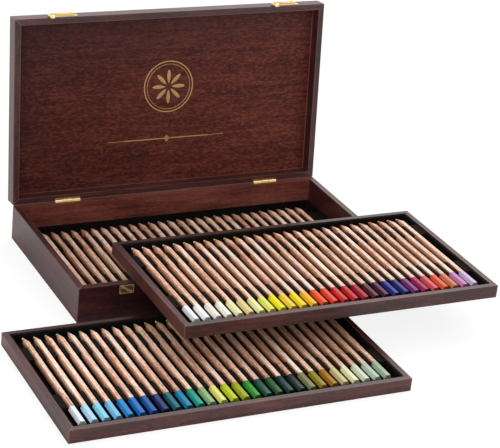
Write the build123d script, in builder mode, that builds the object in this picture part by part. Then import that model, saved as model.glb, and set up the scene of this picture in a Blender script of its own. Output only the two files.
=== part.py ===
from build123d import *
from math import sin, cos, radians
import os

os.makedirs("parts", exist_ok=True)

# Wooden pencil case, lid open, one tray across its rim and one on the table in front.
# Millimetres. Origin at the centre of the case's underside, X along the case, Y to its back.

# Case and lid
case_length = 392.0
case_width = 220.0
case_height = 41.5
case_wall = 7.3
case_floor = 3.0
lid_height = 18.5
lid_panel = 4.0
panel_seat = 4.0          # how far the floor and the lid panel are let into the walls
case_round = 1.0          # radius of the eased outer edges; the two edges at the hinge stay square
lid_lean = 5.5            # degrees past upright at which the lid stops

# Trays
tray_length = 376.4
tray_width = 204.4
tray_height = 14.8
tray_wall = 6.4
tray_floor = 2.6
tray_seat = 3.2
tray_round = 0.8
upper_tray_right = 56.8   # upper tray's centre, from the centre of the case
upper_tray_forward = 141.5
lower_tray_left = 100.5
lower_tray_forward = 236.6

# Pencils
pencil_count = 28
pencil_length = 179.0
pencil_flats = 7.6        # across the flats of the hexagon
pencil_shift = 2.75       # pencils lie this far behind the middle of their insert
taper_length = 14.5       # sharpened cone, from the worn point to the corners of the hexagon
lead_length = 3.2         # part of the cone that is lead
lead_blunt = 0.9          # radius of the worn point
dip_length = 29.8
dip_round = 0.9
tray_row_margin = 7.2     # from the insert's lip to the first pencil of the row
case_row_margin = 16.9

# Black inserts
insert_height = 11.3
insert_clearance = 0.3
insert_floor = 1.6
insert_lip = 1.6
pencil_seat = 3.2         # height of the pencils' lower flat above the insert's underside
comb_below_top = 0.2      # comb tops lie this far under the tops of the pencils
groove_clearance = 0.15
back_comb_from_tip = 25.75
back_comb_width = 25.5
front_comb_from_end = 28.25
front_comb_width = 27.0

# Hinges
hinge_from_end = 67.2     # middle of the hinge, from the end of the case
hinge_length = 31.0
leaf_depth = 3.4          # how far the leaves reach in from the back face
leaf_thickness = 0.9
leaf_gap = 0.05
knuckle_radius = 1.8
knuckle_gap = 0.2
knuckle_relief = 0.3
pin_radius = 0.8
pin_fit = 0.05            # pin in the knuckles that hold it
pin_clearance = 0.1       # pin or rivet in what turns on it
pin_set_back = 0.15       # pin axis, behind the back face of the case
stop_clearance = 0.1      # stop tongue of the lid leaf to the back of the case, lid open
stop_length = 4.5
hinge_screw_spread = 21.0
hinge_screw_edge = 0.75   # screw centres, from the inner edge of the leaf

# Latches and catches, measured from the middle of the catch along the rim (across)
# and from the rim line (up on the lid, down on the case)
latch_from_end = 55.0
plate_length = 29.0
plate_height = 9.0
plate_across = 6.3        # middle of the plate
plate_up = 6.7
plate_thickness = 0.9
plate_corner = 1.2
pivot_across = 14.5
pivot_up = 6.5
rivet_radius = 1.2
rivet_head = 2.4
rivet_head_height = 0.9
bar_gap = 0.35            # bar to the plate and to the rivet's head
bar_thickness = 1.6
bar_width = 3.6
boss_radius = 3.6
elbow_across = -3.0
elbow_up = 9.5
hook_across = -12.5
hook_up = -5.5
knob_radius = 3.3
knob_height = 1.6
catch_length = 17.0
catch_height = 10.2
catch_drop = 1.6          # top of the catch plate, below the rim
catch_thickness = 0.7
catch_border = 0.9
catch_border_height = 0.35
rib_width = 2.0
rib_height = 1.4
rib_reach = 6.3           # half the length of the S-shaped rib
rib_fall = 2.7            # half its fall

# Screws
hinge_screw_head = 0.6
hinge_screw_shank = 0.35
hinge_screw_length = 4.5
plate_screw_head = 1.15
plate_screw_shank = 0.55
plate_screw_length = 5.0
plate_screw_margin = 2.0  # screw centres, from the ends of the latch plate
catch_screw_margin = 2.1  # screw centres, from the corners of the catch plate

# Worked out
pencil_corner = pencil_flats / 3 ** 0.5           # centre to corner of the hexagon
pencil_axis = pencil_seat + pencil_flats / 2
tip_y = pencil_length / 2 + pencil_shift
end_y = tip_y - pencil_length
cone_slope = (pencil_corner - lead_blunt) / taper_length
lead_radius = lead_blunt + cone_slope * lead_length
cone_reach = pencil_corner * 1.2                  # the cone is drawn out past the corners
open_angle = radians(90 + lid_lean)
pin_y = case_width / 2 + pin_set_back
hinge_places = (("left", -case_length / 2 + hinge_from_end), ("right", case_length / 2 - hinge_from_end))
latch_places = (("left", -case_length / 2 + latch_from_end), ("right", case_length / 2 - latch_from_end))

# Planes: the case's floor, the pin axis with the lid turned open about it, the two trays,
# and the front faces of case and lid with their origin on the rim line
case_plane = Plane.XY
pin_plane = Plane(origin=(0, pin_y, case_height), x_dir=(1, 0, 0), z_dir=(0, 0, 1))
lid_plane = Plane(origin=(0, pin_y, case_height), x_dir=(1, 0, 0), z_dir=(0, sin(open_angle), cos(open_angle)))
lid_outside = Plane(
    origin=lid_plane.from_local_coords((0, -pin_set_back - case_width / 2, lid_height)),
    x_dir=(1, 0, 0),
    z_dir=-lid_plane.z_dir,
)
upper_plane = Plane((upper_tray_right, -upper_tray_forward, case_height))
lower_plane = Plane((-lower_tray_left, -lower_tray_forward, 0))
case_front = Plane(origin=(0, -case_width / 2, case_height), x_dir=(1, 0, 0), z_dir=(0, -1, 0))
lid_front = Plane(
    origin=lid_plane.from_local_coords((0, -pin_set_back - case_width, 0)),
    x_dir=(1, 0, 0),
    z_dir=-lid_plane.y_dir,
)


def save(piece, name):
    piece.label = name
    export_step(piece, f"parts/{name}.step")


def plane_at(frame, x, y, z=0.0):
    return Plane(origin=frame.from_local_coords((x, y, z)), x_dir=frame.x_dir, z_dir=frame.z_dir)


def section_at(frame, x):
    # a plane square to the frame's X axis, whose own axes are the frame's Y and Z
    return Plane(origin=frame.from_local_coords((x, 0, 0)), x_dir=frame.y_dir, z_dir=frame.x_dir)


# Boxes: four mitred boards and a panel let into them. The frame's Z runs from the panel's
# outer face to the rim.

def wall_ring(frame, length, width, height, wall, seat, panel, rounding):
    upward = Axis(frame.origin, frame.z_dir)
    with BuildPart() as ring:
        with BuildSketch(frame):
            RectangleRounded(length, width, rounding)
            Rectangle(length - 2 * (wall - seat), width - 2 * (wall - seat), mode=Mode.SUBTRACT)
        extrude(amount=panel)
        with BuildSketch(frame.offset(panel)):
            RectangleRounded(length, width, rounding)
            Rectangle(length - 2 * wall, width - 2 * wall, mode=Mode.SUBTRACT)
        extrude(amount=height - panel)
        rim = faces().sort_by(upward)[-1]
        foot = faces().sort_by(upward)[0]
        fillet(rim.outer_wire().edges(), rounding * 0.9)
        fillet(foot.outer_wire().edges(), rounding * 0.9)
    return ring.part


def mitred_board(frame, ring, length, width, height, wall, side):
    # the part of the ring between the two mitre lines of its side
    along = {"back": (1, 0, 0), "left": (0, 1, 0), "front": (-1, 0, 0), "right": (0, -1, 0)}[side]
    run, reach = (length / 2, width / 2) if along[0] else (width / 2, length / 2)
    x_dir = frame.from_local_coords(along) - frame.origin
    with BuildPart() as board:
        add(ring)
        with BuildSketch(Plane(origin=frame.origin, x_dir=x_dir, z_dir=frame.z_dir)):
            Polygon(
                (run + wall, reach + wall),
                (-run - wall, reach + wall),
                (-run + 2 * wall, reach - 2 * wall),
                (run - 2 * wall, reach - 2 * wall),
                align=None,
            )
        extrude(amount=height, mode=Mode.INTERSECT)
    return board.part


def square_edge(frame, length, width, height, rounding, toward):
    # fills out the eased rim edge along the hinge
    with BuildPart() as strip:
        with BuildSketch(frame.offset(height - rounding)):
            with Locations((0, toward * (width - rounding) / 2)):
                Rectangle(length - 2 * rounding, rounding)
        extrude(amount=rounding)
    return strip.part


def seated_panel(frame, length, width, wall, seat, panel):
    with BuildPart() as sheet:
        with BuildSketch(frame):
            Rectangle(length - 2 * (wall - seat), width - 2 * (wall - seat))
        extrude(amount=panel)
    return sheet.part


# Pencils: one of each piece along +Y with its axis on the origin, then a row of them

def hexagon_bar(start, end):
    with BuildPart() as bar:
        with BuildSketch(Plane.XZ.offset(-start)):
            RegularPolygon(pencil_flats / 2, 6, major_radius=False)
        extrude(amount=-(end - start))
    return bar.part


def barrel():
    with BuildPart() as wood:
        add(hexagon_bar(end_y + dip_length, tip_y))
        with BuildSketch(Plane.XY):
            with BuildLine():
                Polyline(
                    (0, end_y),
                    (cone_reach, end_y),
                    (cone_reach, tip_y - (cone_reach - lead_blunt) / cone_slope),
                    (lead_radius, tip_y - lead_length),
                    (0, tip_y - lead_length),
                    close=True,
                )
            make_face()
        revolve(axis=Axis.Y, mode=Mode.INTERSECT)
    return wood.part


def dipped_end():
    with BuildPart() as dip:
        add(hexagon_bar(end_y, end_y + dip_length))
        fillet(faces().sort_by(Axis.Y)[0].edges(), dip_round)
    return dip.part


def lead_point():
    with BuildPart() as lead:
        with BuildSketch(Plane.XY):
            with BuildLine():
                Polyline(
                    (0, tip_y - lead_length),
                    (lead_radius, tip_y - lead_length),
                    (lead_blunt, tip_y - lead_blunt),
                )
                RadiusArc((lead_blunt, tip_y - lead_blunt), (0, tip_y), -lead_blunt)
                Line((0, tip_y), (0, tip_y - lead_length))
            make_face()
        revolve(axis=Axis.Y)
    return lead.part


def pencil_row(frame, floor, pitch, piece):
    with BuildPart(frame.offset(floor + pencil_axis)) as row:
        with GridLocations(pitch, 0, pencil_count, 1):
            add(piece)
    return row.part


# Insert: floor, lip all round, two comb bars with a groove for each pencil

def row_pitch(length, margin):
    # pencils spread evenly between the margins at the two ends of the insert
    return (length - 2 * (insert_lip + margin + pencil_corner)) / (pencil_count - 1)


def pencil_insert(frame, floor, length, width, pitch):
    base = frame.offset(floor)
    comb_height = pencil_seat + pencil_flats - comb_below_top
    back_comb_y = tip_y - back_comb_from_tip - back_comb_width / 2
    front_comb_y = end_y + front_comb_from_end + front_comb_width / 2
    groove_half = pencil_corner + groove_clearance
    with BuildPart() as insert:
        with BuildSketch(base):
            Rectangle(length, width)
        extrude(amount=insert_height)
        with BuildSketch(base.offset(insert_floor)):
            Rectangle(length - 2 * insert_lip, width - 2 * insert_lip)
        extrude(amount=insert_height, mode=Mode.SUBTRACT)
        with BuildSketch(base.offset(insert_floor)):
            with Locations((0, back_comb_y)):
                Rectangle(length - 2 * insert_lip, back_comb_width)
            with Locations((0, front_comb_y)):
                Rectangle(length - 2 * insert_lip, front_comb_width)
        extrude(amount=comb_height - insert_floor)
        # grooves: flat bottom, sides along the hexagon, then upright
        front = Plane(base.from_local_coords((0, front_comb_y - front_comb_width / 2, 0)),
                      x_dir=base.x_dir, z_dir=base.y_dir * -1)
        with BuildSketch(front):
            with GridLocations(pitch, 0, pencil_count, 1):
                Polygon(
                    (-pencil_corner / 2, pencil_seat),
                    (pencil_corner / 2, pencil_seat),
                    (groove_half, pencil_axis),
                    (groove_half, insert_height),
                    (-groove_half, insert_height),
                    (-groove_half, pencil_axis),
                    align=None,
                )
        extrude(amount=-(back_comb_y + back_comb_width / 2 - front_comb_y + front_comb_width / 2),
                mode=Mode.SUBTRACT)
    return insert.part


# Screws: head flush with the plane they are driven into

def screw(head, shank, length):
    with BuildPart() as one:
        with BuildSketch(Plane.XZ):
            Polygon((0, 0), (head, 0), (shank, shank - head), (shank, -length), (0, -length), align=None)
        revolve(axis=Axis.Z)
    return one.part


def screw_holes(points, frame, head, shank, length):
    # the same shape again, to be taken out of what the screw goes through
    with BuildPart(frame) as holes:
        with Locations(*points):
            add(screw(head, shank, length))
    return holes.part


# Hinges, in a frame on the pin axis: Y to the back, Z away from the rim of the piece that
# carries the leaf when side is -1 (case) or 1 (lid)

def hinge_thirds():
    third = hinge_length / 3
    return [(-third, "outer"), (0, "middle"), (third, "outer")]


def hinge_leaf(frame, centre, side):
    own = "outer" if side < 0 else "middle"
    inner = -(pin_set_back + leaf_depth)
    flat_mid = side * (leaf_gap + leaf_thickness) / 2
    with BuildPart() as leaf:
        with BuildSketch(section_at(frame, centre)):
            with Locations((inner / 2, flat_mid)):
                Rectangle(-inner, leaf_thickness - leaf_gap)
        extrude(amount=hinge_length / 2, both=True)
        for offset, kind in hinge_thirds():
            section = section_at(frame, centre + offset)
            if kind == own:
                with BuildSketch(section):
                    Circle(knuckle_radius)
                extrude(amount=hinge_length / 6 - knuckle_gap / 2, both=True)
            else:
                with BuildSketch(section):
                    Circle(knuckle_radius + knuckle_relief)
                extrude(amount=hinge_length / 6 + knuckle_gap / 2, both=True, mode=Mode.SUBTRACT)
        if side > 0:
            # tongue below the middle knuckle, flat against the back of the case when the lid is open
            with BuildSketch(section_at(pin_plane, centre)):
                with Locations((stop_clearance - pin_set_back + leaf_thickness / 2, -stop_length / 2)):
                    Rectangle(leaf_thickness, stop_length)
            extrude(amount=hinge_length / 6 - knuckle_gap / 2, both=True)
        with BuildSketch(section_at(frame, centre)):
            Circle(pin_radius + (pin_fit if side < 0 else pin_clearance))
        extrude(amount=hinge_length / 2, both=True, mode=Mode.SUBTRACT)
        add(hinge_screws(frame, centre, side), mode=Mode.SUBTRACT)
    return leaf.part


def hinge_pin(frame, centre):
    with BuildPart() as pin:
        with BuildSketch(section_at(frame, centre)):
            Circle(pin_radius)
        extrude(amount=hinge_length / 2, both=True)
    return pin.part


def hinge_screws(frame, centre, side):
    # heads flush with the face of the leaf that meets the other leaf
    facing = Plane(
        origin=frame.from_local_coords((centre, -pin_set_back - leaf_depth + hinge_screw_edge, side * leaf_gap)),
        x_dir=frame.x_dir,
        z_dir=frame.z_dir * -side,
    )
    half = hinge_screw_spread / 2
    points = [(-half, 0), (half, 0)]
    return screw_holes(points, facing, hinge_screw_head, hinge_screw_shank, hinge_screw_length)


def hinge_mortise(frame, centre, side):
    # pocket for the leaf and round groove for the knuckles
    inner = -(pin_set_back + leaf_depth)
    with BuildPart() as pocket:
        with BuildSketch(section_at(frame, centre)):
            with Locations((inner / 2, side * leaf_thickness / 2)):
                Rectangle(-inner, leaf_thickness)
            Circle(knuckle_radius + knuckle_relief)
        extrude(amount=hinge_length / 2 + knuckle_gap, both=True)
    return pocket.part


# Latches on the lid's front face

def latch_plate_screws(centre):
    half = plate_length / 2 - plate_screw_margin
    points = [(centre + plate_across - half, plate_up), (centre + plate_across + half, plate_up)]
    frame = lid_front.offset(plate_thickness)
    return screw_holes(points, frame, plate_screw_head, plate_screw_shank, plate_screw_length)


def latch_plate(centre):
    with BuildPart() as plate:
        with BuildSketch(lid_front):
            with Locations((centre + plate_across, plate_up)):
                RectangleRounded(plate_length, plate_height, plate_corner)
            with Locations((centre + pivot_across, pivot_up)):
                Circle(rivet_radius, mode=Mode.SUBTRACT)
        extrude(amount=plate_thickness)
        add(latch_plate_screws(centre), mode=Mode.SUBTRACT)
    return plate.part


def latch_rivet(centre):
    pivot = plane_at(lid_front, centre + pivot_across, pivot_up)
    shank = plate_thickness + bar_gap + bar_thickness + bar_gap
    with BuildPart() as rivet:
        with BuildSketch(pivot):
            Circle(rivet_radius)
        extrude(amount=shank)
        with BuildSketch(pivot.offset(shank)):
            Circle(rivet_head)
        extrude(amount=rivet_head_height)
        fillet(faces().sort_by(Axis(pivot.origin, pivot.z_dir))[-1].edges(), rivet_head_height * 0.8)
    return rivet.part


def latch_bar(centre):
    # a flat bar from the pivot to the elbow, curled back into a hook with a round knob
    underside = plate_thickness + bar_gap
    pivot = (pivot_across, pivot_up)
    elbow = (elbow_across, elbow_up)
    with BuildPart() as bar:
        with BuildSketch(plane_at(lid_front, centre, 0, underside)):
            with BuildLine():
                arm = Line(pivot, elbow)
                TangentArc(elbow, (hook_across, hook_up), tangent=arm % 1)
            trace(line_width=bar_width)
            with Locations(pivot):
                Circle(boss_radius)
            with Locations((hook_across, hook_up)):
                Circle(knob_radius)
            with Locations(pivot):
                Circle(rivet_radius + pin_clearance, mode=Mode.SUBTRACT)
        extrude(amount=bar_thickness)
        knob = plane_at(lid_front, centre + hook_across, hook_up, underside + bar_thickness)
        profile = Plane(origin=knob.origin, x_dir=knob.x_dir, z_dir=-knob.y_dir)
        with BuildSketch(profile):
            with BuildLine():
                Polyline((0, knob_height), (0, 0), (knob_radius, 0))
                ThreePointArc(
                    (knob_radius, 0),
                    (knob_radius * 0.7, knob_height * 0.75),
                    (0, knob_height),
                )
            make_face()
        revolve(axis=Axis(knob.origin, knob.z_dir))
    return bar.part


# Catch plates on the case's front face: raised border and S-shaped rib

def catch_screws(centre):
    across = catch_length / 2 - catch_screw_margin
    up = catch_height / 2 - catch_screw_margin
    middle = -catch_drop - catch_height / 2
    points = [(centre - across, middle - up), (centre + across, middle + up)]
    frame = case_front.offset(catch_thickness)
    return screw_holes(points, frame, plate_screw_head, plate_screw_shank, plate_screw_length)


def catch_plate(centre):
    middle = (centre, -catch_drop - catch_height / 2)
    with BuildPart() as catch:
        with BuildSketch(case_front):
            with Locations(middle):
                RectangleRounded(catch_length, catch_height, plate_corner)
        extrude(amount=catch_thickness)
        with BuildSketch(case_front.offset(catch_thickness)):
            with Locations(middle):
                RectangleRounded(catch_length, catch_height, plate_corner)
                Rectangle(catch_length - 2 * catch_border, catch_height - 2 * catch_border, mode=Mode.SUBTRACT)
        extrude(amount=catch_border_height)
        with BuildSketch(plane_at(case_front, middle[0], middle[1], catch_thickness)):
            with BuildLine():
                upper = TangentArc((-rib_reach, rib_fall), (0, 0), tangent=(1, 0))
                TangentArc((0, 0), (rib_reach, -rib_fall), tangent=upper % 1)
            trace(line_width=rib_width)
        extrude(amount=rib_height)
        add(catch_screws(centre), mode=Mode.SUBTRACT)
    return catch.part


# ---- the case ----

case_size = (case_length, case_width)
case_ring = wall_ring(case_plane, *case_size, case_height, case_wall, panel_seat, case_floor, case_round)
for side in ("front", "back", "left", "right"):
    with BuildPart() as case_board:
        add(mitred_board(case_plane, case_ring, *case_size, case_height, case_wall, side))
        if side == "back":
            add(square_edge(case_plane, *case_size, case_height, case_round, 1))
            for hinge, centre in hinge_places:
                add(hinge_mortise(pin_plane, centre, -1), mode=Mode.SUBTRACT)
                add(hinge_screws(pin_plane, centre, -1), mode=Mode.SUBTRACT)
        if side == "front":
            for latch, centre in latch_places:
                add(catch_screws(centre), mode=Mode.SUBTRACT)
    save(case_board.part, f"case_{side}_wall")
save(seated_panel(case_plane, *case_size, case_wall, panel_seat, case_floor), "case_floor_panel")

# ---- the lid ----

lid_ring = wall_ring(lid_outside, *case_size, lid_height, case_wall, panel_seat, lid_panel, case_round)
# seen from inside the lid its front rail lies on the far side of the turned frame
for side, edge in (("front", "back"), ("back", "front"), ("left", "left"), ("right", "right")):
    with BuildPart() as lid_board:
        add(mitred_board(lid_outside, lid_ring, *case_size, lid_height, case_wall, edge))
        if side == "back":
            add(square_edge(lid_outside, *case_size, lid_height, case_round, -1))
            for hinge, centre in hinge_places:
                add(hinge_mortise(lid_plane, centre, 1), mode=Mode.SUBTRACT)
                add(hinge_screws(lid_plane, centre, 1), mode=Mode.SUBTRACT)
        if side == "front":
            for latch, centre in latch_places:
                add(latch_plate_screws(centre), mode=Mode.SUBTRACT)
    save(lid_board.part, f"lid_{side}_rail")
save(seated_panel(lid_outside, *case_size, case_wall, panel_seat, lid_panel), "lid_panel")

# ---- hinges ----

for name, centre in hinge_places:
    save(hinge_leaf(pin_plane, centre, -1), f"{name}_hinge_case_leaf")
    save(hinge_leaf(lid_plane, centre, 1), f"{name}_hinge_lid_leaf")
    save(hinge_pin(pin_plane, centre), f"{name}_hinge_pin")
for owner, frame, side in (("case", pin_plane, -1), ("lid", lid_plane, 1)):
    with BuildPart() as screws:
        for hinge, centre in hinge_places:
            add(hinge_screws(frame, centre, side))
    save(screws.part, f"{owner}_hinge_screws")

# ---- latches and catches ----

for name, centre in latch_places:
    save(latch_plate(centre), f"{name}_latch_plate")
    save(latch_rivet(centre), f"{name}_latch_rivet")
    save(latch_bar(centre), f"{name}_latch_bar")
    save(catch_plate(centre), f"{name}_catch_plate")
for owner, fixing in (("latch_plate", latch_plate_screws), ("catch_plate", catch_screws)):
    with BuildPart() as screws:
        for latch, centre in latch_places:
            add(fixing(centre))
    save(screws.part, f"{owner}_screws")

# ---- the trays ----

tray_size = (tray_length, tray_width)
for tray, frame in (("upper", upper_plane), ("lower", lower_plane)):
    ring = wall_ring(frame, *tray_size, tray_height, tray_wall, tray_seat, tray_floor, tray_round)
    for side in ("front", "back", "left", "right"):
        save(mitred_board(frame, ring, *tray_size, tray_height, tray_wall, side), f"{tray}_tray_{side}_wall")
    save(seated_panel(frame, *tray_size, tray_wall, tray_seat, tray_floor), f"{tray}_tray_floor_panel")

# ---- inserts and pencils ----

case_inside = (case_length - 2 * (case_wall + insert_clearance), case_width - 2 * (case_wall + insert_clearance))
tray_inside = (tray_length - 2 * (tray_wall + insert_clearance), tray_width - 2 * (tray_wall + insert_clearance))
pieces = {"barrels": barrel(), "dipped_ends": dipped_end(), "leads": lead_point()}
layers = (
    ("case", case_plane, case_floor, case_inside, case_row_margin),
    ("upper_tray", upper_plane, tray_floor, tray_inside, tray_row_margin),
    ("lower_tray", lower_plane, tray_floor, tray_inside, tray_row_margin),
)
for layer, frame, floor, inside, margin in layers:
    pitch = row_pitch(inside[0], margin)
    save(pencil_insert(frame, floor, *inside, pitch), f"{layer}_insert")
    for name, piece in pieces.items():
        save(pencil_row(frame, floor, pitch, piece), f"{layer}_pencil_{name}")
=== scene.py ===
import math

import bpy
from mathutils import Matrix, Vector


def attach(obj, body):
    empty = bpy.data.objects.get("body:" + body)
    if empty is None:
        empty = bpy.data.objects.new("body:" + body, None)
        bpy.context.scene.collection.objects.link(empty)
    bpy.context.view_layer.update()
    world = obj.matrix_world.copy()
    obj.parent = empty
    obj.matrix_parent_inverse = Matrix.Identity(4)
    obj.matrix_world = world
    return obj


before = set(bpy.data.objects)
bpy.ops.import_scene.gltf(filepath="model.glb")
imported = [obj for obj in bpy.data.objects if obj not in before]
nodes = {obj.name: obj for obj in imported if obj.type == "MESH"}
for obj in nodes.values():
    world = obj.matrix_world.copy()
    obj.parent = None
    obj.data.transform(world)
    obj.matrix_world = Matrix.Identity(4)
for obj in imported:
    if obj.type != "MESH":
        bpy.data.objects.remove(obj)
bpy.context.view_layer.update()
scene = bpy.context.scene
print("frame loaded,", len(nodes), "pieces")


view = {
    "place": (-0.8476, -1.7318, 0.9195),
    "aim": (0.0591, 0.0031, 0.0392),
    "lens": 131.94,  # mm, on the sensor below
    "sensor": 36.0,
    "roll": 0.1045,  # radians
    "near": 0.05,
    "far": 50.0,
}


def placeCamera(view):
    data = bpy.data.cameras.new("photoView")
    data.sensor_fit = "HORIZONTAL"
    data.sensor_width = view["sensor"]
    data.lens = view["lens"]
    data.clip_start = view["near"]
    data.clip_end = view["far"]
    camera = bpy.data.objects.new("photoView", data)
    scene.collection.objects.link(camera)
    place = Vector(view["place"])
    back = (place - Vector(view["aim"])).normalized()
    right = Vector((0, 0, 1)).cross(back).normalized()
    up = back.cross(right)
    side = math.cos(view["roll"]) * right + math.sin(view["roll"]) * up
    axes = Matrix((side, back.cross(side), back)).transposed()
    camera.matrix_world = Matrix.Translation(place) @ axes.to_4x4()
    scene.camera = camera


placeCamera(view)
print("camera placed")


# small helpers for materials

def newMaterial(name):
    material = bpy.data.materials.new(name)
    material.use_nodes = True
    tree = material.node_tree
    return material, tree, tree.nodes["Principled BSDF"]


def addNode(tree, kind, **values):
    node = tree.nodes.new(kind)
    for key, value in values.items():
        setattr(node, key, value)
    return node


def mathNode(tree, operation, first, second=None, third=None):
    node = addNode(tree, "ShaderNodeMath", operation=operation)
    for slot, value in enumerate((first, second, third)):
        if value is None:
            continue
        if isinstance(value, (int, float)):
            node.inputs[slot].default_value = value
        else:
            tree.links.new(value, node.inputs[slot])
    return node.outputs[0]


def mixColour(tree, blend, amount, first, second):
    node = addNode(tree, "ShaderNodeMix", data_type="RGBA", blend_type=blend)
    sockets = (node.inputs[0], node.inputs[6], node.inputs[7])
    for socket, value in zip(sockets, (amount, first, second)):
        if isinstance(value, (int, float)):
            socket.default_value = value
        elif isinstance(value, (tuple, list)):
            socket.default_value = (*value[:3], 1.0)
        else:
            tree.links.new(value, socket)
    return node.outputs[2]


def greyColour(tree, value):
    grey = addNode(tree, "ShaderNodeCombineColor")
    for channel in range(3):
        tree.links.new(value, grey.inputs[channel])
    return grey.outputs[0]


def darken(tree, colour, value):
    return mixColour(tree, "MULTIPLY", 1.0, colour, greyColour(tree, value))


def noiseNode(tree, place, scale, detail=2.0, roughness=0.5):
    noise = addNode(tree, "ShaderNodeTexNoise")
    noise.inputs["Scale"].default_value = scale
    noise.inputs["Detail"].default_value = detail
    noise.inputs["Roughness"].default_value = roughness
    tree.links.new(place, noise.inputs["Vector"])
    return noise.outputs[0]


def squeezed(tree, place, stretch):
    squeeze = addNode(tree, "ShaderNodeVectorMath", operation="MULTIPLY")
    squeeze.inputs[1].default_value = (stretch, 1.0, 1.0)
    tree.links.new(place, squeeze.inputs[0])
    return squeeze.outputs[0]


def rangeNode(tree, value, span, result=(0.0, 1.0), curve="LINEAR"):
    node = addNode(tree, "ShaderNodeMapRange", interpolation_type=curve)
    names = ("From Min", "From Max", "To Min", "To Max")
    for name, limit in zip(names, (*span, *result)):
        node.inputs[name].default_value = limit
    tree.links.new(value, node.inputs["Value"])
    return node.outputs[0]


def bumpNode(tree, height, strength, depth):
    bump = addNode(tree, "ShaderNodeBump")
    bump.inputs["Strength"].default_value = strength
    bump.inputs["Distance"].default_value = depth
    tree.links.new(height, bump.inputs["Height"])
    return bump


def splitVector(tree, vector):
    split = addNode(tree, "ShaderNodeSeparateXYZ")
    tree.links.new(vector, split.inputs[0])
    return split.outputs


def splitNormal(tree):
    return splitVector(tree, addNode(tree, "ShaderNodeNewGeometry").outputs["Normal"])


def objectPlace(tree):
    return addNode(tree, "ShaderNodeTexCoord").outputs["Object"]


def turned(tree, place, degrees):
    mapping = addNode(tree, "ShaderNodeMapping")
    mapping.inputs["Rotation"].default_value = [math.radians(angle) for angle in degrees]
    tree.links.new(place, mapping.inputs["Vector"])
    return mapping.outputs[0]


def steppedRamp(tree, factor, colours):
    ramp = addNode(tree, "ShaderNodeValToRGB")
    ramp.color_ramp.interpolation = "CONSTANT"
    elements = ramp.color_ramp.elements
    while len(elements) < len(colours):
        elements.new(0.5)  # moved to its place below
    for number, (element, colour) in enumerate(zip(elements, colours)):
        element.position = number / len(colours)
        element.color = (*colour, 1.0)
    tree.links.new(factor, ramp.inputs[0])
    return ramp.outputs[0]


def feed(tree, shader, colour, rough, bump):
    tree.links.new(colour, shader.inputs["Base Color"])
    tree.links.new(rough, shader.inputs["Roughness"])
    tree.links.new(bump.outputs[0], shader.inputs["Normal"])


def groupSockets(group, inputs, outputs):
    for name, kind, value in inputs:
        socket = group.interface.new_socket(name, in_out="INPUT", socket_type=kind)
        if value is not None:
            socket.default_value = value
    for name, kind in outputs:
        group.interface.new_socket(name, in_out="OUTPUT", socket_type=kind)
    start = group.nodes.new("NodeGroupInput")
    end = group.nodes.new("NodeGroupOutput")
    return start.outputs, end.inputs


def placeGroup(tree, group, **values):
    node = addNode(tree, "ShaderNodeGroup", node_tree=group)
    for name, value in values.items():
        if isinstance(value, bpy.types.NodeSocket):
            tree.links.new(value, node.inputs[name])
        elif isinstance(value, (tuple, list)) and node.inputs[name].type == "RGBA":
            node.inputs[name].default_value = (*value[:3], 1.0)
        else:
            node.inputs[name].default_value = value
    return node


# shared node groups

grain = {
    # scale, detail, stretch along the grain, roughness
    "cloud": (30.0, 4.0, 0.3, 0.55),
    "fibre": (520.0, 4.0, 0.06, 0.55),
    "streak": (190.0, 4.0, 0.08, 0.55),
    "pore": (800.0, 1.0, 0.1, 0.4),
    "mottle": (430.0, 2.0, 0.42, 0.7),
    # how much of the tone comes from which
    "figureShare": 0.4,
    "streakShare": 0.38,
    "fibreShare": 0.22,
    "toneSpan": (0.36, 0.64),
    "poreSpan": (0.58, 0.7),
    "fibreHeight": 0.4,
}


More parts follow.
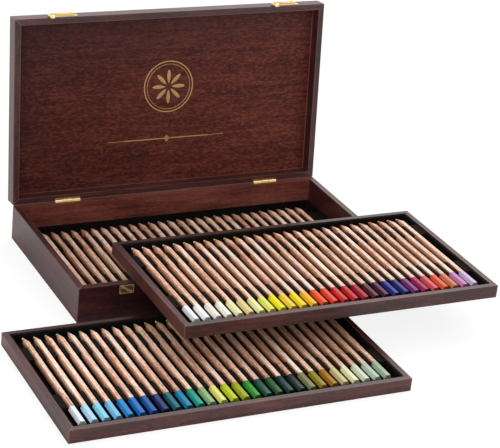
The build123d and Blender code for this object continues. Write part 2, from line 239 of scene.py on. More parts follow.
def makeGrainGroup(look):
    # fibres, streaks, mottling, cloudy figure and short dark pores; the grain runs along X
    group = bpy.data.node_groups.new("boardGrain", "ShaderNodeTree")
    inputs, outputs = groupSockets(
        group,
        [
            ("Place", "NodeSocketVector", None),
            ("Dark", "NodeSocketColor", (0.02, 0.01, 0.01, 1)),
            ("Body", "NodeSocketColor", (0.1, 0.03, 0.02, 1)),
            ("Pale", "NodeSocketColor", (0.2, 0.08, 0.05, 1)),
            ("Figure", "NodeSocketFloat", 0.5),
            ("Pores", "NodeSocketFloat", 0.5),
            ("Mottle", "NodeSocketFloat", 0.25),
        ],
        [
            ("Colour", "NodeSocketColor"),
            ("Height", "NodeSocketFloat"),
            ("CloudNoise", "NodeSocketFloat"),
        ],
    )

    def layer(name):
        scale, detail, stretch, roughness = look[name]
        place = squeezed(group, inputs["Place"], stretch)
        return noiseNode(group, place, scale, detail, roughness)

    def swing(noise, amount, middle):
        # the noise taken round its middle, as strong as the group's input says
        centred = mathNode(group, "SUBTRACT", noise, 0.5)
        return mathNode(group, "MULTIPLY_ADD", centred, amount, middle)

    cloud = layer("cloud")
    fibre = layer("fibre")
    figure = swing(cloud, inputs["Figure"], 0.5)
    tone = mathNode(group, "ADD", mathNode(group, "MULTIPLY", figure, look["figureShare"]),
                    mathNode(group, "MULTIPLY", layer("streak"), look["streakShare"]))
    tone = mathNode(group, "ADD", tone, mathNode(group, "MULTIPLY", fibre, look["fibreShare"]))
    tone = swing(layer("mottle"), inputs["Mottle"], tone)
    spread = rangeNode(group, tone, look["toneSpan"])
    lower = mathNode(group, "MINIMUM", mathNode(group, "MULTIPLY", spread, 2.0), 1.0)
    upper = mathNode(group, "MAXIMUM", mathNode(group, "MULTIPLY_ADD", spread, 2.0, -1.0), 0.0)
    colour = mixColour(group, "MIX", lower, inputs["Dark"], inputs["Body"])
    colour = mixColour(group, "MIX", upper, colour, inputs["Pale"])
    poreMask = rangeNode(group, layer("pore"), look["poreSpan"])
    pores = mathNode(group, "MULTIPLY", poreMask, inputs["Pores"])
    colour = mixColour(group, "MIX", pores, colour, inputs["Dark"])
    raised = mathNode(group, "MULTIPLY", fibre, look["fibreHeight"])
    group.links.new(colour, outputs["Colour"])
    group.links.new(mathNode(group, "SUBTRACT", raised, pores), outputs["Height"])
    group.links.new(cloud, outputs["CloudNoise"])
    return group


edges = {
    "bevelRays": 6,
    "strength": 7.0,
    "patchScale": 180.0,
    "patchDetail": 3.0,
    "patchSpread": 1.2,
    "patchLeast": 0.4,
}


def makeEdgeGroup(look):
    # how far a point lies on a rounded edge: 0 on the flats, 1 on the edges
    group = bpy.data.node_groups.new("edgeLine", "ShaderNodeTree")
    inputs, outputs = groupSockets(
        group,
        [("Radius", "NodeSocketFloat", 0.001), ("Place", "NodeSocketVector", None)],
        [("Edge", "NodeSocketFloat")],
    )
    bevel = addNode(group, "ShaderNodeBevel", samples=look["bevelRays"])
    group.links.new(inputs["Radius"], bevel.inputs["Radius"])
    geometry = addNode(group, "ShaderNodeNewGeometry")
    dot = addNode(group, "ShaderNodeVectorMath", operation="DOT_PRODUCT")
    group.links.new(bevel.outputs[0], dot.inputs[0])
    group.links.new(geometry.outputs["Normal"], dot.inputs[1])
    bend = mathNode(group, "SUBTRACT", 1.0, dot.outputs["Value"])
    noise = noiseNode(group, inputs["Place"], look["patchScale"], look["patchDetail"])
    patchy = mathNode(group, "MULTIPLY_ADD", noise, look["patchSpread"], look["patchLeast"])
    strong = mathNode(group, "MULTIPLY", bend, look["strength"])
    edge = mathNode(group, "MULTIPLY", strong, patchy)
    group.links.new(mathNode(group, "MINIMUM", edge, 1.0), outputs["Edge"])
    return group


def makeRowGroup():
    # which pencil of a row a point is on, as 0 to 1 along the row, and two random numbers for it
    group = bpy.data.node_groups.new("pencilInRow", "ShaderNodeTree")
    inputs, outputs = groupSockets(
        group,
        [
            ("Place", "NodeSocketVector", None),
            ("First", "NodeSocketFloat", 0.0),
            ("Pitch", "NodeSocketFloat", 0.0125),
            ("Count", "NodeSocketFloat", 28.0),
            ("Seed", "NodeSocketFloat", 0.0),
        ],
        [
            ("Along", "NodeSocketFloat"),
            ("Random", "NodeSocketFloat"),
            ("Second", "NodeSocketFloat"),
        ],
    )
    across = splitVector(group, inputs["Place"])[0]
    steps = mathNode(group, "DIVIDE", mathNode(group, "SUBTRACT", across, inputs["First"]),
                     inputs["Pitch"])
    number = mathNode(group, "FLOOR", mathNode(group, "ADD", steps, 0.5))
    along = mathNode(group, "DIVIDE", mathNode(group, "ADD", number, 0.5), inputs["Count"])
    white = addNode(group, "ShaderNodeTexWhiteNoise", noise_dimensions="2D")
    pair = addNode(group, "ShaderNodeCombineXYZ")
    group.links.new(number, pair.inputs[0])
    group.links.new(inputs["Seed"], pair.inputs[1])
    group.links.new(pair.outputs[0], white.inputs["Vector"])
    second = addNode(group, "ShaderNodeSeparateColor")
    group.links.new(white.outputs["Color"], second.inputs[0])
    group.links.new(along, outputs["Along"])
    group.links.new(white.outputs["Value"], outputs["Random"])
    group.links.new(second.outputs[1], outputs["Second"])
    return group


grainGroup = makeGrainGroup(grain)
edgeGroup = makeEdgeGroup(edges)
rowGroup = makeRowGroup()
print("node groups made")


# stained and lacquered boards

boards = {
    "dark": (0.024, 0.0065, 0.007),
    "body": (0.062, 0.0145, 0.0135),
    "pale": (0.115, 0.032, 0.026),
    "edge": (0.3, 0.17, 0.14),
    "figure": 1.4,
    "mottle": 0.3,
    "pores": 0.65,
    "roughness": 0.38,
    "roughSpread": 0.16,
    "specular": 0.45,
    "coat": 0.1,
    "coatRoughness": 0.25,
    "bump": 0.12,
    "bumpDepth": 0.0004,
    "edgeRadius": 0.0012,
    "edgeAmount": 0.55,
}

sideBoards = {**boards, "specular": 0.38}

# painted light: inside the case the stain is given lighter and warmer colours, for the light that
# falls in from above
caseInside = {
    **boards,
    "dark": (0.08, 0.02, 0.015),
    "body": (0.18, 0.046, 0.033),
    "pale": (0.26, 0.08, 0.056),
    "specular": 0.25,
    "coat": 0.0,
    "edgeAmount": 0.3,
}

# painted shade: the front of the case darkens from its left end towards the part under the tray
# that lies on the rim
caseFront = {
    **boards,
    "specular": 0.2,
    "coat": 0.0,
    "frontShade": 0.3,
    "frontSpan": (-0.19, -0.1),
}

# painted shade on the rim and the inner face of a tray's back wall, beside the dark insert
trayBack = {
    **boards,
    "edgeAmount": 0.15,
    "rimShade": 0.4,
    "rimFacing": 0.4,
}

# the panel of the lid has painted shade towards its top and its left, and a painted highlight
# line along its right and lower edges
lidPanel = {
    **boards,
    "dark": (0.05, 0.01, 0.009),
    "body": (0.112, 0.021, 0.0145),
    "pale": (0.185, 0.045, 0.029),
    "roughness": 0.5,
    "specular": 0.16,
    "coat": 0.0,
    "figure": 0.7,
    "mottle": 0.85,
    "edgeAmount": 0.0,
    "topShade": (0.05, 0.02, 0.021),
    "topSpan": (0.17, 0.262),
    "topAmount": 0.5,
    "topSlope": -0.08,
    "topWave": 0.09,
    "topDrop": 0.045,
    "leftSpan": (-0.2, 0.16),
    "leftDepth": 0.68,
    "line": (0.34, 0.15, 0.12),
    "lineRight": 0.1879,
    "lineLow": 0.0484,
    "lowAmount": 0.6,
    "lineSpread": 0.6,
    "lineLeast": 0.3,
}


def shadePanel(tree, colour, cloudNoise, look):
    across, _, height = splitVector(tree, objectPlace(tree))
    # wavy lower boundary of the painted shade at the top, a little lower at the left
    level = mathNode(tree, "MULTIPLY_ADD", across, look["topSlope"], height)
    level = mathNode(tree, "SUBTRACT", level, look["topDrop"])
    level = mathNode(tree, "MULTIPLY_ADD", cloudNoise, look["topWave"], level)
    band = rangeNode(tree, level, look["topSpan"], curve="SMOOTHSTEP")
    reach = mathNode(tree, "MULTIPLY", band, look["topAmount"])
    colour = mixColour(tree, "MIX", reach, colour, look["topShade"])
    # painted shade towards the left of the panel
    side = rangeNode(tree, across, look["leftSpan"], (look["leftDepth"], 1.0), "SMOOTHSTEP")
    colour = darken(tree, colour, side)
    # painted highlight line along the right and lower edges, made patchy by the cloud noise
    right = mathNode(tree, "GREATER_THAN", across, look["lineRight"])
    low = mathNode(tree, "LESS_THAN", height, look["lineLow"])
    line = mathNode(tree, "MAXIMUM", right, mathNode(tree, "MULTIPLY", low, look["lowAmount"]))
    patchy = mathNode(tree, "MULTIPLY_ADD", cloudNoise, look["lineSpread"], look["lineLeast"])
    return mixColour(tree, "MIX", mathNode(tree, "MULTIPLY", line, patchy), colour, look["line"])


def shadeRim(tree, colour, look):
    # painted shade on the faces that look up and forward
    _, forward, up = splitNormal(tree)
    top = mathNode(tree, "GREATER_THAN", up, look["rimFacing"])
    inner = mathNode(tree, "LESS_THAN", forward, -look["rimFacing"])
    mask = mathNode(tree, "MAXIMUM", top, inner)
    amount = mathNode(tree, "MULTIPLY", mask, 1.0 - look["rimShade"])
    return mixColour(tree, "MULTIPLY", amount, colour, (0.0, 0.0, 0.0))


def shadeFront(tree, colour, look):
    # painted shade along the front of the case, growing from its left end
    across = splitVector(tree, objectPlace(tree))[0]
    shade = rangeNode(tree, across, look["frontSpan"], (1.0, look["frontShade"]), "SMOOTHSTEP")
    return darken(tree, colour, shade)


def makeWood(name, degrees, look):
    material, tree, shader = newMaterial(name)
    place = turned(tree, objectPlace(tree), degrees)
    stain = placeGroup(tree, grainGroup, Place=place, Dark=look["dark"], Body=look["body"],
                       Pale=look["pale"], Figure=look["figure"], Pores=look["pores"],
                       Mottle=look["mottle"])
    cloudNoise = stain.outputs["CloudNoise"]
    # painted highlight along the rounded edges, made patchy
    edge = placeGroup(tree, edgeGroup, Radius=look["edgeRadius"], Place=place)
    amount = mathNode(tree, "MULTIPLY", edge.outputs["Edge"], look["edgeAmount"])
    colour = mixColour(tree, "MIX", amount, stain.outputs["Colour"], look["edge"])
    if "topShade" in look:
        colour = shadePanel(tree, colour, cloudNoise, look)
    if "rimShade" in look:
        colour = shadeRim(tree, colour, look)
    if "frontShade" in look:
        colour = shadeFront(tree, colour, look)
    smoothest = look["roughness"] - look["roughSpread"] / 2
    rough = mathNode(tree, "MULTIPLY_ADD", cloudNoise, look["roughSpread"], smoothest)
    bump = bumpNode(tree, stain.outputs["Height"], look["bump"], look["bumpDepth"])
    feed(tree, shader, colour, rough, bump)
    shader.inputs["Specular IOR Level"].default_value = look["specular"]
    shader.inputs["Coat Weight"].default_value = look["coat"]
    shader.inputs["Coat Roughness"].default_value = look["coatRoughness"]
    return material


def dress(names, material):
    for name in names:
        mesh = nodes[name].data
        mesh.materials.clear()
        mesh.materials.append(material)


lidLean = 5.5  # degrees past upright, which the grain of its boards follows

longBoard = makeWood("stainedBoardLong", (0, 0, 0), boards)
shortBoard = makeWood("stainedBoardShort", (0, 0, 90), sideBoards)
for owner in ("case", "upper_tray", "lower_tray"):
    dress([f"{owner}_front_wall", f"{owner}_back_wall", f"{owner}_floor_panel"], longBoard)
    dress([f"{owner}_left_wall", f"{owner}_right_wall"], shortBoard)
# the back wall of the case, with painted light
dress(["case_back_wall"], makeWood("stainedCaseBackPaintedLight", (0, 0, 0), caseInside))
# the front wall of the case, with painted shade
dress(["case_front_wall"], makeWood("stainedCaseFrontPaintedShade", (0, 0, 0), caseFront))
# the back walls of the trays, with painted shade
dress(["upper_tray_back_wall", "lower_tray_back_wall"],
      makeWood("stainedTrayBackPaintedShade", (0, 0, 0), trayBack))
dress(["lid_front_rail", "lid_back_rail"], makeWood("stainedLidRail", (-lidLean, 0, 0), boards))
dress(["lid_left_rail", "lid_right_rail"], makeWood("stainedLidStile", (-lidLean, 90, 0), boards))
dress(["lid_panel"], makeWood("stainedLidPanelPaintedLightAndShade", (-lidLean, 0, 0), lidPanel))
print("boards stained")


inserts = {
    "black": (0.004, 0.0032, 0.0028),
    "grey": (0.018, 0.0135, 0.0105),
    "roughness": 0.85,
    "roughSpread": 0.2,
    "specular": 0.07,
    "speckle": 1500.0,
    "patches": 40.0,
    "edgeRadius": 0.0008,
    "edgeAmount": 0.6,
    "bump": 0.25,
    "bumpDepth": 0.0002,
}


def makeInsert(look):
    material, tree, shader = newMaterial("flockedBlack")
    place = objectPlace(tree)
    fine = noiseNode(tree, place, look["speckle"])
    mask = mathNode(tree, "MULTIPLY", fine, noiseNode(tree, place, look["patches"]))
    # painted highlight along the rounded edges of the insert
    edge = placeGroup(tree, edgeGroup, Radius=look["edgeRadius"], Place=place)
    mask = mathNode(tree, "MULTIPLY_ADD", edge.outputs["Edge"], look["edgeAmount"], mask)
    colour = mixColour(tree, "MIX", mask, look["black"], look["grey"])
    smoothest = look["roughness"] - look["roughSpread"] / 2
    rough = mathNode(tree, "MULTIPLY_ADD", fine, look["roughSpread"], smoothest)
    feed(tree, shader, colour, rough, bumpNode(tree, fine, look["bump"], look["bumpDepth"]))
    shader.inputs["Specular IOR Level"].default_value = look["specular"]
    return material


dress(["case_insert", "upper_tray_insert", "lower_tray_insert"], makeInsert(inserts))
print("inserts flocked")


# pencils: lengths in metres, the axis is the middle of a pencil

pencilCount = 28

upperColours = [
    (0.97, 0.97, 0.97), (0.97, 0.97, 0.95), (0.95, 0.89, 0.76), (0.97, 0.95, 0.85),
    (0.93, 0.89, 0.48), (0.84, 0.68, 0.33), (0.93, 0.92, 0.46), (0.84, 0.84, 0.14),
    (0.97, 0.84, 0.0), (0.93, 0.66, 0.06), (0.97, 0.73, 0.0), (0.95, 0.5, 0.01),
    (0.85, 0.075, 0.008), (0.8, 0.05, 0.01), (0.66, 0.015, 0.015), (0.56, 0.01, 0.015),
    (0.42, 0.008, 0.03), (0.1, 0.01, 0.025), (0.07, 0.01, 0.04), (0.02, 0.022, 0.26),
    (0.02, 0.02, 0.19), (0.22, 0.03, 0.2), (0.42, 0.02, 0.12), (0.75, 0.1, 0.11),
    (0.82, 0.12, 0.05), (0.68, 0.22, 0.11), (0.6, 0.25, 0.52), (0.66, 0.52, 0.74),
]
lowerColours = [
    (0.85, 0.92, 0.97), (0.45, 0.72, 0.93), (0.25, 0.68, 0.86), (0.2, 0.54, 0.8),
    (0.01, 0.22, 0.56), (0.006, 0.16, 0.53), (0.004, 0.09, 0.34), (0.005, 0.02, 0.12),
    (0.004, 0.13, 0.17), (0.005, 0.23, 0.42), (0.005, 0.35, 0.24), (0.3, 0.46, 0.22),
    (0.82, 0.8, 0.2), (0.5, 0.62, 0.01), (0.36, 0.42, 0.01), (0.02, 0.3, 0.03),
    (0.008, 0.08, 0.05), (0.02, 0.09, 0.025), (0.005, 0.045, 0.045), (0.018, 0.03, 0.03),
    (0.22, 0.24, 0.1), (0.32, 0.24, 0.01), (0.4, 0.17, 0.015), (0.62, 0.58, 0.26),
    (0.88, 0.85, 0.55), (0.68, 0.76, 0.56), (0.5, 0.62, 0.5), (0.4, 0.5, 0.36),
]
caseColours = [
    (0.5, 0.36, 0.22), (0.45, 0.28, 0.14), (0.36, 0.18, 0.08), (0.28, 0.12, 0.05),
    (0.2, 0.07, 0.03), (0.14, 0.05, 0.03), (0.1, 0.04, 0.03), (0.3, 0.1, 0.07),
    (0.42, 0.16, 0.1), (0.55, 0.26, 0.16), (0.66, 0.38, 0.26), (0.72, 0.5, 0.38),
    (0.6, 0.5, 0.4), (0.45, 0.38, 0.3), (0.33, 0.28, 0.22), (0.22, 0.19, 0.16),
    (0.14, 0.12, 0.1), (0.5, 0.5, 0.48), (0.36, 0.37, 0.37), (0.24, 0.25, 0.26),
    (0.14, 0.15, 0.16), (0.07, 0.075, 0.08), (0.03, 0.03, 0.035), (0.3, 0.33, 0.36),
    (0.2, 0.24, 0.28), (0.12, 0.15, 0.2), (0.5, 0.42, 0.3), (0.01, 0.01, 0.01),
]

layers = {
    "case": {
        "centre": 0.0,
        "pitch": 0.0122602,
        "axisHeight": 0.01,
        "colours": caseColours,
        "seed": 3.0,
    },
    "upper_tray": {
        "centre": 0.0568,
        "pitch": 0.0124676,
        "axisHeight": 0.0511,
        "colours": upperColours,
        "seed": 7.0,
    },
    "lower_tray": {
        "centre": -0.1005,
        "pitch": 0.0124676,
        "axisHeight": 0.0096,
        "colours": lowerColours,
        "seed": 11.0,
    },
}

cedar = {
    "dark": (0.48, 0.2, 0.11),
    "body": (0.88, 0.56, 0.41),
    "pale": (0.99, 0.86, 0.77),
    "figure": 1.2,
    "pores": 0.3,
    "mottle": 0.45,
    "leastShade": 0.88,
    "shadeSpread": 0.22,
    "grainShift": 3.0,
    "coneFacing": 0.1,  # the cut cone looks forward, so its normals have some Y
    "coneTint": (0.85, 0.5, 0.3),
    "coneAmount": 0.45,
    "coneRoughness": 0.25,
    "leftFacing": -0.3,
    "leftPaintedShade": (0.86, 0.66, 0.5),
    # painted shade between two pencils: its colour, and the heights over which it fades out
    "gapShade": (0.15, 0.06, 0.03),
    "gapSpan": (0.0006, 0.0034),  # heights above the axis between which the sides darken
    "roughness": 0.4,
    "specular": 0.35,
    "coat": 0.12,
    "coatRoughness": 0.3,
    "bump": 0.15,
    "bumpDepth": 0.0002,
}

lacquer = {
    "noise": 260.0,
    "leastShade": 0.92,
    "shadeSpread": 0.16,
    # painted shadow on the flat front ends
    "endFacing": -0.5,
    "endShade": 0.5,
    "roughness": 0.17,
    "roughSpread": 0.1,
    "specular": 0.22,
    "coat": 0.12,
    "coatRoughness": 0.06,
    "bump": 0.06,
    "bumpDepth": 0.0003,
    "edgeRadius": 0.0011,
    "edgeRays": 6,
}

lead = {
    "noise": 2500.0,
    "dust": (0.5, 0.5, 0.5),
    "dustAmount": 0.15,
    # painted light: a faint glow in the lead's own colour
    "glow": 0.3,
    "roughness": 0.5,
    "roughSpread": 0.2,
}


def findPencil(tree, layer):
    place = objectPlace(tree)
    first = layer["centre"] - layer["pitch"] * (pencilCount - 1) / 2
    row = placeGroup(tree, rowGroup, Place=place, First=first, Pitch=layer["pitch"],
                     Count=float(pencilCount), Seed=layer["seed"])
    return place, row


def makeCedar(name, layer, look):
    material, tree, shader = newMaterial(name)
    place, row = findPencil(tree, layer)
    # every pencil gets its own stretch of grain and its own depth of colour
    shift = addNode(tree, "ShaderNodeCombineXYZ")
    far = mathNode(tree, "MULTIPLY", row.outputs["Random"], look["grainShift"])
    tree.links.new(far, shift.inputs[2])
    moved = addNode(tree, "ShaderNodeVectorMath", operation="ADD")
    tree.links.new(place, moved.inputs[0])
    tree.links.new(shift.outputs[0], moved.inputs[1])
    wood = placeGroup(tree, grainGroup, Place=turned(tree, moved.outputs[0], (0, 0, 90)),
                      Dark=look["dark"], Body=look["body"], Pale=look["pale"],
                      Figure=look["figure"], Pores=look["pores"], Mottle=look["mottle"])
    shade = mathNode(tree, "MULTIPLY_ADD", row.outputs["Second"], look["shadeSpread"],
                     look["leastShade"])
    colour = darken(tree, wood.outputs["Colour"], shade)
    # bare cut wood on the sharpened cone, and painted shade, darker and warmer, on the sides that
    # face left
    across, forward, _ = splitNormal(tree)
    cone = mathNode(tree, "GREATER_THAN", forward, look["coneFacing"])
    coneMask = mathNode(tree, "MULTIPLY", cone, look["coneAmount"])
    colour = mixColour(tree, "MIX", coneMask, colour, look["coneTint"])
    left = mathNode(tree, "LESS_THAN", across, look["leftFacing"])
    colour = mixColour(tree, "MULTIPLY", left, colour, look["leftPaintedShade"])
    # painted shade: the sides darken towards the gap between two pencils
    span = [layer["axisHeight"] + height for height in look["gapSpan"]]
    lit = rangeNode(tree, splitVector(tree, place)[2], span, curve="SMOOTHSTEP")
    colour = mixColour(tree, "MIX", lit, look["gapShade"], colour)
    rough = mathNode(tree, "MULTIPLY_ADD", cone, look["coneRoughness"], look["roughness"])
    bump = bumpNode(tree, wood.outputs["Height"], look["bump"], look["bumpDepth"])
    feed(tree, shader, colour, rough, bump)
    shader.inputs["Specular IOR Level"].default_value = look["specular"]
    shader.inputs["Coat Weight"].default_value = look["coat"]
    shader.inputs["Coat Roughness"].default_value = look["coatRoughness"]
    return material


def makeLacquer(name, layer, look):
    material, tree, shader = newMaterial(name)
    place, row = findPencil(tree, layer)
    colour = steppedRamp(tree, row.outputs["Along"], layer["colours"])
    noise = noiseNode(tree, place, look["noise"])
    shade = mathNode(tree, "MULTIPLY_ADD", noise, look["shadeSpread"], look["leastShade"])
    # painted shadow: the flat end of a pencil is darkened, as in the shadow of the front wall
    flat = mathNode(tree, "LESS_THAN", splitNormal(tree)[1], look["endFacing"])
    end = mathNode(tree, "MULTIPLY_ADD", flat, look["endShade"] - 1.0, 1.0)
    colour = darken(tree, colour, mathNode(tree, "MULTIPLY", shade, end))
    rough = mathNode(tree, "MULTIPLY_ADD", noise, look["roughSpread"], look["roughness"])
    bump = bumpNode(tree, noise, look["bump"], look["bumpDepth"])
    rounded = addNode(tree, "ShaderNodeBevel", samples=look["edgeRays"])
    rounded.inputs["Radius"].default_value = look["edgeRadius"]
    tree.links.new(rounded.outputs[0], bump.inputs["Normal"])
    feed(tree, shader, colour, rough, bump)
    shader.inputs["Specular IOR Level"].default_value = look["specular"]
    shader.inputs["Coat Weight"].default_value = look["coat"]
    shader.inputs["Coat Roughness"].default_value = look["coatRoughness"]
    return material


def makeLead(name, layer, look):
    material, tree, shader = newMaterial(name)
    place, row = findPencil(tree, layer)
    colour = steppedRamp(tree, row.outputs["Along"], layer["colours"])
    noise = noiseNode(tree, place, look["noise"])
    dust = mathNode(tree, "MULTIPLY", noise, look["dustAmount"])
    colour = mixColour(tree, "MULTIPLY", dust, colour, look["dust"])
    rough = mathNode(tree, "MULTIPLY_ADD", noise, look["roughSpread"], look["roughness"])
    tree.links.new(colour, shader.inputs["Base Color"])
    # painted light: the lead glows faintly in its own colour
    tree.links.new(colour, shader.inputs["Emission Color"])
    tree.links.new(rough, shader.inputs["Roughness"])
    shader.inputs["Emission Strength"].default_value = look["glow"]
    return material


for name, layer in layers.items():
    dress([f"{name}_pencil_barrels"], makeCedar(f"cedar_{name}", layer, cedar))
    dress([f"{name}_pencil_dipped_ends"], makeLacquer(f"lacquer_{name}", layer, lacquer))
    dress([f"{name}_pencil_leads"], makeLead(f"lead_{name}", layer, lead))
print("pencils coloured")


brass = {
    "bright": (0.88, 0.69, 0.34),
    "tarnishAndShade": (0.5, 0.31, 0.12),
    "tarnishScale": 220.0,
    "tarnishDetail": 4.0,
    "tarnishSpan": (0.56, 0.8),
    "tarnishAmount": 0.5,
    "tarnishRoughness": 0.12,
    "roughness": 0.22,
    "roughSpread": 0.18,
    "scratches": 600.0,
    "scratchStretch": 0.1,
    "bump": 0.08,
    "bumpDepth": 0.0001,
}

screws = {**brass, "bright": (0.7, 0.52, 0.27), "roughness": 0.32}

# a catch plate has a painted highlight on its frame and rib, and painted shade on its recessed
# ground
catches = {
    **brass,
    "bright": (1.0, 0.88, 0.52),
    "tarnishAndShade": (0.3, 0.17, 0.05),
    "ground": -0.1108,  # Y between the ground of the plate and what stands on it
    "roughness": 0.3,
    "roughSpread": 0.1,
}

foil = {
    **brass,
    "bright": (0.5, 0.32, 0.13),
    "tarnishAndShade": (0.3, 0.17, 0.06),
    "roughness": 0.5,
}


def makeBrass(name, look):
    material, tree, shader = newMaterial(name)
    place = objectPlace(tree)
    broad = noiseNode(tree, place, look["tarnishScale"], look["tarnishDetail"])
    spread = rangeNode(tree, broad, look["tarnishSpan"])
    amount = mathNode(tree, "MULTIPLY", spread, look["tarnishAmount"])
    colour = mixColour(tree, "MIX", amount, look["bright"], look["tarnishAndShade"])
    fine = noiseNode(tree, squeezed(tree, place, look["scratchStretch"]), look["scratches"])
    smoothest = look["roughness"] - look["roughSpread"] / 2
    rough = mathNode(tree, "MULTIPLY_ADD", fine, look["roughSpread"], smoothest)
    rough = mathNode(tree, "MULTIPLY_ADD", spread, look["tarnishRoughness"], rough)
    feed(tree, shader, colour, rough, bumpNode(tree, fine, look["bump"], look["bumpDepth"]))
    shader.inputs["Metallic"].default_value = 1.0
    return material


def makeCatch(name, look):
    material, tree, shader = newMaterial(name)
    place = objectPlace(tree)
    # painted highlight on what stands out of the plate, painted shade on its ground
    raised = mathNode(tree, "LESS_THAN", splitVector(tree, place)[1], look["ground"])
    colour = mixColour(tree, "MIX", raised, look["tarnishAndShade"], look["bright"])
    noise = noiseNode(tree, place, look["scratches"])
    rough = mathNode(tree, "MULTIPLY_ADD", noise, look["roughSpread"], look["roughness"])
    tree.links.new(colour, shader.inputs["Base Color"])
    tree.links.new(rough, shader.inputs["Roughness"])
    shader.inputs["Metallic"].default_value = 1.0
    return material


fittings = [name for name in nodes if "hinge" in name or "latch" in name or "catch" in name]
plain = [name for name in fittings if "screws" not in name]
dress(plain, makeBrass("polishedBrass", brass))
dress([name for name in fittings if name not in plain], makeBrass("screwBrass", screws))
dress(["left_catch_plate", "right_catch_plate"], makeCatch("catchBrass", catches))
print("brass polished")


# gold ornament on the lid's panel: rings with petals, and a rule with a lozenge

panelFace = {
    "hinge": (0.11015, 0.0415),  # pin axis, as Y and Z
    "lean": math.radians(lidLean),
    "depth": 0.0145,  # of the panel's face below the rim of the lid
}

ornament = {
    "thickness": 0.0003,
    "middle": (0.001, 0.1257),  # across the lid, and up it from the hinge
    "rings": ((0.031, 0.0007), (0.0275, 0.00035)),  # radius, half the line
    "ringSteps": 72,
    "lineSteps": 8,
    "petals": 8,
    "petal": (0.0023, 0.0082),  # half its width, half its length
    "petalSteps": 24,
    "petalRings": 8,
    "petalReach": 0.0125,
    "petalTaper": ((-0.1, 0.88), (-0.5, 0.8)),  # below this part of its half length, narrower
    "ruleUp": 0.0618,
    # name, half its length, width, half its thickness
    "rules": (("lidRuleFine", 0.075, 0.0006, 0.0001), ("lidRuleBold", 0.054, 0.0014, 0.00015)),
    "lozenge": 0.0042,
    "soften": 0.00005,
}


def panelPlace(across, up, lift):
    # X across the lid, Y up it, Z out of the panel
    lean = panelFace["lean"]
    depth = panelFace["depth"] - lift
    hingeY, hingeZ = panelFace["hinge"]
    y = hingeY + math.cos(lean) * depth + math.sin(lean) * up
    z = hingeZ - math.sin(lean) * depth + math.cos(lean) * up
    facing = Matrix.Rotation(math.pi / 2 - lean, 4, "X")
    return Matrix.Translation((across, y, z)) @ facing


def startPiece(addPrimitive, stretch=(1, 1, 1), **values):
    # a primitive at the origin, with its stretch applied
    bpy.ops.object.select_all(action="DESELECT")
    addPrimitive(**values)
    piece = bpy.context.object
    piece.scale = stretch
    bpy.ops.object.transform_apply(location=False, rotation=True, scale=True)
    return piece


def softenEdges(offset):
    bpy.ops.object.mode_set(mode="EDIT")
    bpy.ops.mesh.select_all(action="SELECT")
    bpy.ops.mesh.bevel(offset=offset, segments=2)
    bpy.ops.object.mode_set(mode="OBJECT")


def narrowBelow(piece, height, factor):
    bpy.ops.object.mode_set(mode="EDIT")
    bpy.ops.mesh.select_mode(type="VERT")
    bpy.ops.mesh.select_all(action="DESELECT")
    bpy.ops.object.mode_set(mode="OBJECT")
    for corner in piece.data.vertices:
        corner.select = corner.co.y < height
    bpy.ops.object.mode_set(mode="EDIT")
    bpy.ops.transform.resize(value=(factor, 1, 1))
    bpy.ops.object.mode_set(mode="OBJECT")


def finishPiece(piece, name, place, material, body):
    piece.name = name
    piece.matrix_world = place
    bpy.ops.object.transform_apply(location=True, rotation=True, scale=True)
    piece.data.materials.clear()
    piece.data.materials.append(material)
    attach(piece, body)


def makeRings(look, middle, material):
    for number, (radius, line) in enumerate(look["rings"]):
        flatten = (1, 1, look["thickness"] / 2 / line)
        ring = startPiece(bpy.ops.mesh.primitive_torus_add, flatten, major_radius=radius,
                          minor_radius=line, major_segments=look["ringSteps"],
                          minor_segments=look["lineSteps"])
        finishPiece(ring, f"lidRing{number + 1}", middle, material, "lid")


def makePetals(look, middle, material):
    halfWidth, halfLength = look["petal"]
    stretch = (halfWidth, halfLength, look["thickness"] / 2)
    petal = startPiece(bpy.ops.mesh.primitive_uv_sphere_add, stretch, radius=1.0,
                       segments=look["petalSteps"], ring_count=look["petalRings"])
    for part, factor in look["petalTaper"]:
        narrowBelow(petal, part * halfLength, factor)
    out = Matrix.Translation((0, look["petalReach"], 0))
    for number in range(look["petals"]):
        bpy.ops.object.select_all(action="DESELECT")
        petal.select_set(True)
        bpy.context.view_layer.objects.active = petal
        if number < look["petals"] - 1:  # the last one is the first petal itself
            bpy.ops.object.duplicate(linked=False)
        turn = Matrix.Rotation(-2 * math.pi * number / look["petals"], 4, "Z")
        finishPiece(bpy.context.object, f"lidPetal{number + 1}", middle @ turn @ out, material,
                    "lid")


def makeRule(look, material):
    across = look["middle"][0]
    for name, halfLength, width, lift in look["rules"]:
        rule = startPiece(bpy.ops.mesh.primitive_cube_add, (2 * halfLength, width, 2 * lift),
                          size=1.0)
        softenEdges(look["soften"])
        place = panelPlace(across, look["ruleUp"], lift)
        finishPiece(rule, name, place, material, "lid")
    lozenge = startPiece(bpy.ops.mesh.primitive_cylinder_add, vertices=4,
                         radius=look["lozenge"], depth=look["thickness"])
    softenEdges(look["soften"])
    place = panelPlace(across, look["ruleUp"], look["thickness"] / 2)
    finishPiece(lozenge, "lidLozenge", place, material, "lid")


goldFoil = makeBrass("goldFoil", foil)
ornamentMiddle = panelPlace(*ornament["middle"], ornament["thickness"] / 2)
makeRings(ornament, ornamentMiddle, goldFoil)
makePetals(ornament, ornamentMiddle, goldFoil)
makeRule(ornament, goldFoil)
print("ornament laid")


# dark beads that close the seam along the pin axis, between the hinges
seam = {
    "radius": 0.00014,
    "steps": 12,
    "ends": ((-0.195, -0.1445), (-0.113, 0.113), (0.1445, 0.195)),
}


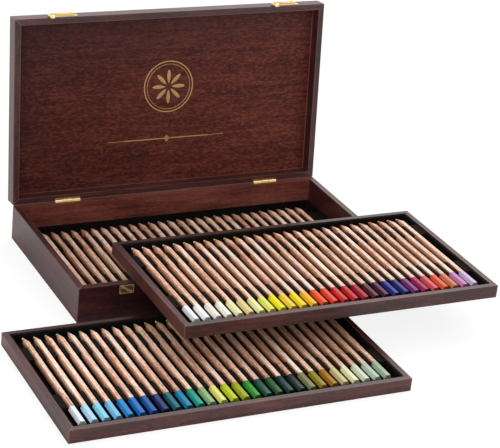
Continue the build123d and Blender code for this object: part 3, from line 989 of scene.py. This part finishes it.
def makeSeam(look, material):
    along = Matrix.Rotation(math.pi / 2, 4, "Y")
    for number, (start, end) in enumerate(look["ends"]):
        bead = startPiece(bpy.ops.mesh.primitive_cylinder_add, vertices=look["steps"],
                          radius=look["radius"], depth=end - start)
        softenEdges(look["radius"] / 4)
        place = Matrix.Translation(((start + end) / 2, *panelFace["hinge"])) @ along
        finishPiece(bead, f"hingeSeam{number + 1}", place, material, "case")


makeSeam(seam, longBoard)
print("hinge seam closed")


room = {
    "floor": (0.93, 0.93, 0.93),
    "floorSize": 12.0,
    "floorDrop": 0.0002,
    "floorRoughness": 0.9,
    "seenFloor": (0.18, 0.18, 0.18),
    "floorLift": 0.86,  # what the camera sees of the floor besides the light that falls on it
    "sky": 0.55,
    "keyStrength": 1.6,
    "keyFrom": (0.55, 0.5, 1.0),
    "keyAngle": 50.0,
    "fillStrength": 0.8,
    "fillFrom": (-0.9, -0.7, 0.7),
    "fillAngle": 60.0,
}


def addSun(name, strength, angle, comesFrom):
    data = bpy.data.lights.new(name, "SUN")
    data.energy = strength
    data.angle = math.radians(angle)
    sun = bpy.data.objects.new(name, data)
    scene.collection.objects.link(sun)
    sun.rotation_euler = Vector(comesFrom).to_track_quat("Z", "Y").to_euler()


def makeFloor(look):
    bpy.ops.object.select_all(action="DESELECT")
    bpy.ops.mesh.primitive_plane_add(size=look["floorSize"], location=(0, 0, -look["floorDrop"]))
    floor = bpy.context.object
    floor.name = "floor"
    bpy.ops.object.transform_apply(location=True)
    material, tree, shader = newMaterial("paleFloor")
    shader.inputs["Base Color"].default_value = (*look["floor"], 1.0)
    shader.inputs["Roughness"].default_value = look["floorRoughness"]
    shader.inputs["Specular IOR Level"].default_value = 0.0
    glow = addNode(tree, "ShaderNodeEmission")
    glow.inputs["Strength"].default_value = look["floorLift"]
    path = addNode(tree, "ShaderNodeLightPath")
    seen = addNode(tree, "ShaderNodeBsdfDiffuse")
    seen.inputs["Color"].default_value = (*look["seenFloor"], 1.0)
    added = addNode(tree, "ShaderNodeAddShader")
    mixed = addNode(tree, "ShaderNodeMixShader")
    tree.links.new(seen.outputs[0], added.inputs[0])
    tree.links.new(glow.outputs[0], added.inputs[1])
    tree.links.new(path.outputs["Is Camera Ray"], mixed.inputs[0])
    tree.links.new(shader.outputs[0], mixed.inputs[1])
    tree.links.new(added.outputs[0], mixed.inputs[2])
    tree.links.new(mixed.outputs[0], tree.nodes["Material Output"].inputs["Surface"])
    floor.data.materials.append(material)


def makeSky(look):
    # soft white light; the camera and mirrors see plain white
    world = bpy.data.worlds.new("softRoom")
    world.use_nodes = True
    scene.world = world
    tree = world.node_tree
    sky = tree.nodes["Background"]
    seen = addNode(tree, "ShaderNodeBackground")
    for background, strength in ((sky, look["sky"]), (seen, 1.0)):
        background.inputs["Color"].default_value = (1.0, 1.0, 1.0, 1.0)
        background.inputs["Strength"].default_value = strength
    path = addNode(tree, "ShaderNodeLightPath").outputs
    either = mathNode(tree, "MAXIMUM", path["Is Camera Ray"], path["Is Glossy Ray"])
    either = mathNode(tree, "MAXIMUM", either, path["Is Transmission Ray"])
    mixed = addNode(tree, "ShaderNodeMixShader")
    tree.links.new(either, mixed.inputs[0])
    tree.links.new(sky.outputs[0], mixed.inputs[1])
    tree.links.new(seen.outputs[0], mixed.inputs[2])
    tree.links.new(mixed.outputs[0], tree.nodes["World Output"].inputs["Surface"])


makeFloor(room)
makeSky(room)
addSun("keyLight", room["keyStrength"], room["keyAngle"], room["keyFrom"])
addSun("fillLight", room["fillStrength"], room["fillAngle"], room["fillFrom"])
scene.view_settings.view_transform = "Standard"
print("room lit")
